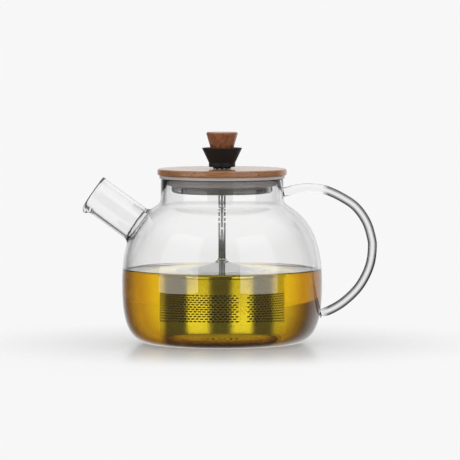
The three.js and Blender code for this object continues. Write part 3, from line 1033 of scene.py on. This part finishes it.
def make_camera():
    camera = bpy.data.objects.new("camera", bpy.data.cameras.new("camera"))
    bpy.context.scene.collection.objects.link(camera)
    rise = math.radians(VIEW_RISE)
    camera.location = AIM + VIEW_DISTANCE * Vector((0, -math.cos(rise), math.sin(rise)))
    camera.rotation_euler = (AIM - camera.location).to_track_quat("-Z", "Y").to_euler()
    camera.data.sensor_width = 36
    camera.data.lens = 36 * VIEW_DISTANCE / FRAME_WIDTH
    camera.data.clip_end = 500
    bpy.context.scene.camera = camera


def make_floor():
    """A pale floor that is partly self-lit, so that it stays even far away and takes only a soft shadow."""
    bm = bmesh.new()
    bmesh.ops.create_circle(bm, cap_ends=True, segments=96, radius=FLOOR_REACH)
    mesh = bpy.data.meshes.new("floor")
    bm.to_mesh(mesh)
    bm.free()
    floor = bpy.data.objects.new("floor", mesh)
    bpy.context.scene.collection.objects.link(floor)
    mat, tree, shader = material("floor", Base_Color=(0.55, 0.55, 0.55), Roughness=0.8,
                                 Specular_IOR_Level=0.0)
    shader.inputs["Emission Color"].default_value = (1, 1, 1, 1)
    shader.inputs["Emission Strength"].default_value = FLOOR_GLOW
    gloss = add(tree, "ShaderNodeBsdfGlossy", Roughness=0.2)
    mix = add(tree, "ShaderNodeMixShader")
    distance = add(tree, "ShaderNodeVectorMath", operation="LENGTH")
    tree.links.new(add(tree, "ShaderNodeTexCoord").outputs["Object"], distance.inputs[0])
    near = smooth_fade(tree, distance.outputs["Value"], GLOSS_FADE, FLOOR_GLOSS, 0)
    tree.links.new(near, mix.inputs["Fac"])
    tree.links.new(shader.outputs["BSDF"], mix.inputs[1])
    tree.links.new(gloss.outputs["BSDF"], mix.inputs[2])
    # Glass and steel don't mirror the floor: the real pot stands on a narrow table.
    path = add(tree, "ShaderNodeLightPath")
    unmirrored = add(tree, "ShaderNodeMixShader")
    tree.links.new(path.outputs["Glossy Depth"], unmirrored.inputs["Fac"])
    tree.links.new(mix.outputs["Shader"], unmirrored.inputs[1])
    tree.links.new(add(tree, "ShaderNodeBsdfTransparent").outputs["BSDF"], unmirrored.inputs[2])
    tree.links.new(unmirrored.outputs["Shader"], tree.nodes["Material Output"].inputs["Surface"])
    mesh.materials.append(mat)
    return floor


def softbox(name, azimuth, width, height, radiance, base, unlit):
    """An upright rectangular light that faces the pot. Azimuth is in degrees from -Y towards +X."""
    data = bpy.data.lights.new(name, "AREA")
    data.shape = "RECTANGLE"
    data.size, data.size_y = width, height
    data.energy = radiance * math.pi * width * height
    lamp = bpy.data.objects.new(name, data)
    bpy.context.scene.collection.objects.link(lamp)
    angle = math.radians(azimuth)
    away = SOFTBOX_DISTANCE
    lamp.location = (away * math.sin(angle), -away * math.cos(angle), base + height / 2)
    aim = Vector((0, 0, base + height / 2)) - lamp.location
    lamp.rotation_euler = aim.to_track_quat("-Z", "Y").to_euler()
    lamp.light_linking.receiver_collection = unlit
    return lamp


def make_world():
    """Bright behind the pot and overhead, greyer at the sides and in front, so that glass edges read."""
    world = bpy.data.worlds.new("studio")
    world.use_nodes = True
    bpy.context.scene.world = world
    tree = world.node_tree
    place = add(tree, "ShaderNodeTexCoord")
    parts = add(tree, "ShaderNodeSeparateXYZ")
    tree.links.new(place.outputs["Generated"], parts.inputs[0])
    across, away, up = parts.outputs
    lean = add(tree, "ShaderNodeMath", operation="MULTIPLY_ADD")
    lean.inputs[1].default_value = WORLD_LEAN
    tree.links.new(across, lean.inputs[0])
    tree.links.new(away, lean.inputs[2])
    level = smooth_fade(tree, lean.outputs["Value"], BACK_FADE, WORLD_GREY, WORLD_BRIGHT)
    level = smooth_fade(tree, up, TOP_FADE, level, WORLD_TOP)
    background = tree.nodes["Background"]
    background.inputs["Color"].default_value = (1, 1, 1, 1)
    # The camera itself sees one even tone from every side.
    seen = add(tree, "ShaderNodeMix", data_type="FLOAT")
    tree.links.new(add(tree, "ShaderNodeLightPath").outputs["Is Camera Ray"], seen.inputs["Factor"])
    tree.links.new(level, seen.inputs["A"])
    seen.inputs["B"].default_value = WORLD_BRIGHT
    tree.links.new(seen.outputs["Result"], background.inputs["Strength"])


def make_softboxes(floor):
    """A bright low part and a dimmer high part on each side. None of them lights the floor."""
    skipped = bpy.data.collections.new("not_lit_by_softboxes")
    skipped.objects.link(floor)
    skipped.collection_objects[0].light_linking.link_state = "EXCLUDE"
    for side, azimuth, width in SOFTBOX_SIDES:
        for part, height, radiance, base in SOFTBOX_PARTS:
            softbox("softbox_" + part + "_" + side, azimuth, width, height, radiance, base, skipped)


make_camera()
floor = make_floor()
make_world()
make_softboxes(floor)
bpy.context.scene.view_settings.view_transform = "Standard"

make_glass()
make_tea()
make_lid_disc()
make_lid_pan()
make_gasket()
make_bush()
make_collar()
make_knob()
make_rod()
make_rod_collar()
make_cap()
make_basket_wall()
make_basket_rim()
make_basket_floor()
make_floor_ring()
make_leaves()
dress_cad_nodes()
